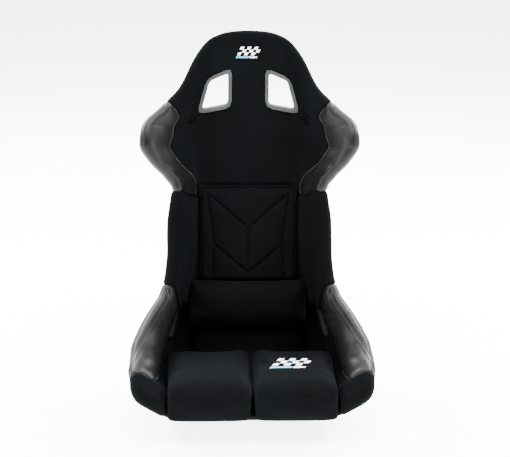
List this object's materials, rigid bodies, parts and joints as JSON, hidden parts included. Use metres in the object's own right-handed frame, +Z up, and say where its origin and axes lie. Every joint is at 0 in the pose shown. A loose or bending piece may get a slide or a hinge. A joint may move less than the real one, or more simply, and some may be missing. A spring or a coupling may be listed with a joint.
{
  "type": "racing seat",
  "caption": "Fixed-back bucket racing seat with a moulded shell, thigh bolsters, shoulder wings, harness slots, side mounts and lift-out pads over a cloth lining.",
  "frame": {"origin": "under the middle of the seat's bounding box, on the plane of the shell's lowest point", "axes": "+Z up along the back, -Y the way the driver faces, +X to the right of a viewer who looks at the seat's front; X = 0 is the plane of symmetry"},
  "size_m": [0.5842, 0.5442, 0.8776],
  "materials": {
    "shell": "satin",
    "fabric": "matte",
    "vinyl": "satin",
    "foam": "matte",
    "plastic": "satin",
    "rubber": "matte",
    "tape": "matte",
    "steel": "satin"
  },
  "bodies": {
    "seat": {"shell": "shell", "mount_plate_left": "steel", "mount_plate_right": "steel", "threaded_insert_left_front": "steel", "threaded_insert_left_rear": "steel", "threaded_insert_right_front": "steel", "threaded_insert_right_rear": "steel", "shoulder_frame_left": "plastic", "shoulder_frame_right": "plastic", "shoulder_back_ring_left": "plastic", "shoulder_back_ring_right": "plastic", "lap_belt_frame_left": "plastic", "lap_belt_frame_right": "plastic", "crotch_strap_frame": "plastic", "wing_cover_left": "vinyl", "wing_cover_right": "vinyl", "wing_foam_left": "foam", "wing_foam_right": "foam", "side_cover_left": "fabric", "side_cover_right": "fabric", "side_foam_left": "foam", "side_foam_right": "foam", "bolster_cover_left": "vinyl", "bolster_cover_right": "vinyl", "bolster_foam_left": "foam", "bolster_foam_right": "foam", "nose_cover_left": "fabric", "nose_cover_right": "fabric", "nose_foam_left": "foam", "nose_foam_right": "foam", "head_cover": "fabric", "head_foam": "foam", "upper_back_foam": "foam", "back_lining": "fabric", "seat_lining": "fabric", "front_lip_trim": "rubber", "hem_trim": "rubber", "lower_back_pad_cover": "fabric", "lower_back_pad_foam": "foam", "seat_pad_cover": "fabric", "seat_pad_foam": "foam", "lumbar_tape_lower": "tape", "lumbar_tape_upper": "tape", "thigh_tape_left": "tape", "thigh_tape_right": "tape"},
    "lumbar_pad": {"lumbar_pad_cover": "fabric", "lumbar_pad_foam": "foam"},
    "thigh_cushion_left": {"thigh_cushion_left_cover": "fabric", "thigh_cushion_left_foam": "foam"},
    "thigh_cushion_right": {"thigh_cushion_right_cover": "fabric", "thigh_cushion_right_foam": "foam"}
  },
  "joints": [
    {"name": "lumbar_pad_lift", "type": "slide", "parent": "seat", "child": "lumbar_pad", "axis": [0, -0.975, 0.222], "range_m": [0, 0.1]},
    {"name": "thigh_cushion_left_lift", "type": "slide", "parent": "seat", "child": "thigh_cushion_left", "axis": [0, 0, 1], "range_m": [0, 0.25]},
    {"name": "thigh_cushion_right_lift", "type": "slide", "parent": "seat", "child": "thigh_cushion_right", "axis": [0, 0, 1], "range_m": [0, 0.25]}
  ]
}
